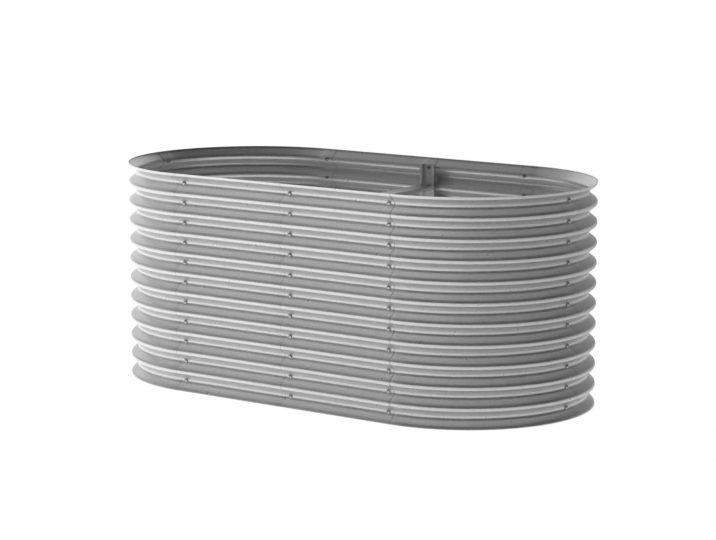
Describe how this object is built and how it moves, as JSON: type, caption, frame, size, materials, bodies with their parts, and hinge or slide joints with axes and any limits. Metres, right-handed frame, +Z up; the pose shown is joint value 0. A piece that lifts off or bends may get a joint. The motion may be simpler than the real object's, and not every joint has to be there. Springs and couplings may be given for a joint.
{
  "type": "raised garden bed",
  "caption": "Tall oval raised garden bed of corrugated galvanised steel sheets, bolted along upright seams, with inner struts and cross braces, open at top and bottom.",
  "frame": {"origin": "on the ground, under the middle of the bed", "axes": "+X along the bed, +Y to the back long side, +Z up"},
  "size_m": [1.5999, 0.796, 0.6798],
  "materials": {
    "wall_sheet": "hot-dip galvanised sheet, satin, with a faint spangle",
    "bracing": "galvanised folded sheet, satin",
    "fasteners": "zinc-plated steel, semi-gloss"
  },
  "bodies": {
    "root": {"corner_panel_front_left": "wall_sheet", "corner_panel_front_right": "wall_sheet", "corner_panel_back_right": "wall_sheet", "corner_panel_back_left": "wall_sheet", "side_panel_front_left": "wall_sheet", "side_panel_front_right": "wall_sheet", "side_panel_back_left": "wall_sheet", "side_panel_back_right": "wall_sheet", "strut_front": "bracing", "strut_back": "bracing", "cross_brace_upper": "bracing", "cross_brace_lower": "bracing", "bolts_front_left": "fasteners", "washers_front_left": "fasteners", "nuts_front_left": "fasteners", "bolts_front_middle": "fasteners", "washers_front_middle": "fasteners", "nuts_front_middle": "fasteners", "bolts_front_right": "fasteners", "washers_front_right": "fasteners", "nuts_front_right": "fasteners", "bolts_right_end": "fasteners", "washers_right_end": "fasteners", "nuts_right_end": "fasteners", "bolts_back_right": "fasteners", "washers_back_right": "fasteners", "nuts_back_right": "fasteners", "bolts_back_middle": "fasteners", "washers_back_middle": "fasteners", "nuts_back_middle": "fasteners", "bolts_back_left": "fasteners", "washers_back_left": "fasteners", "nuts_back_left": "fasteners", "bolts_left_end": "fasteners", "washers_left_end": "fasteners", "nuts_left_end": "fasteners", "brace_screws_upper": "fasteners", "brace_nuts_upper": "fasteners", "brace_screws_lower": "fasteners", "brace_nuts_lower": "fasteners"}
  },
  "joints": []
}
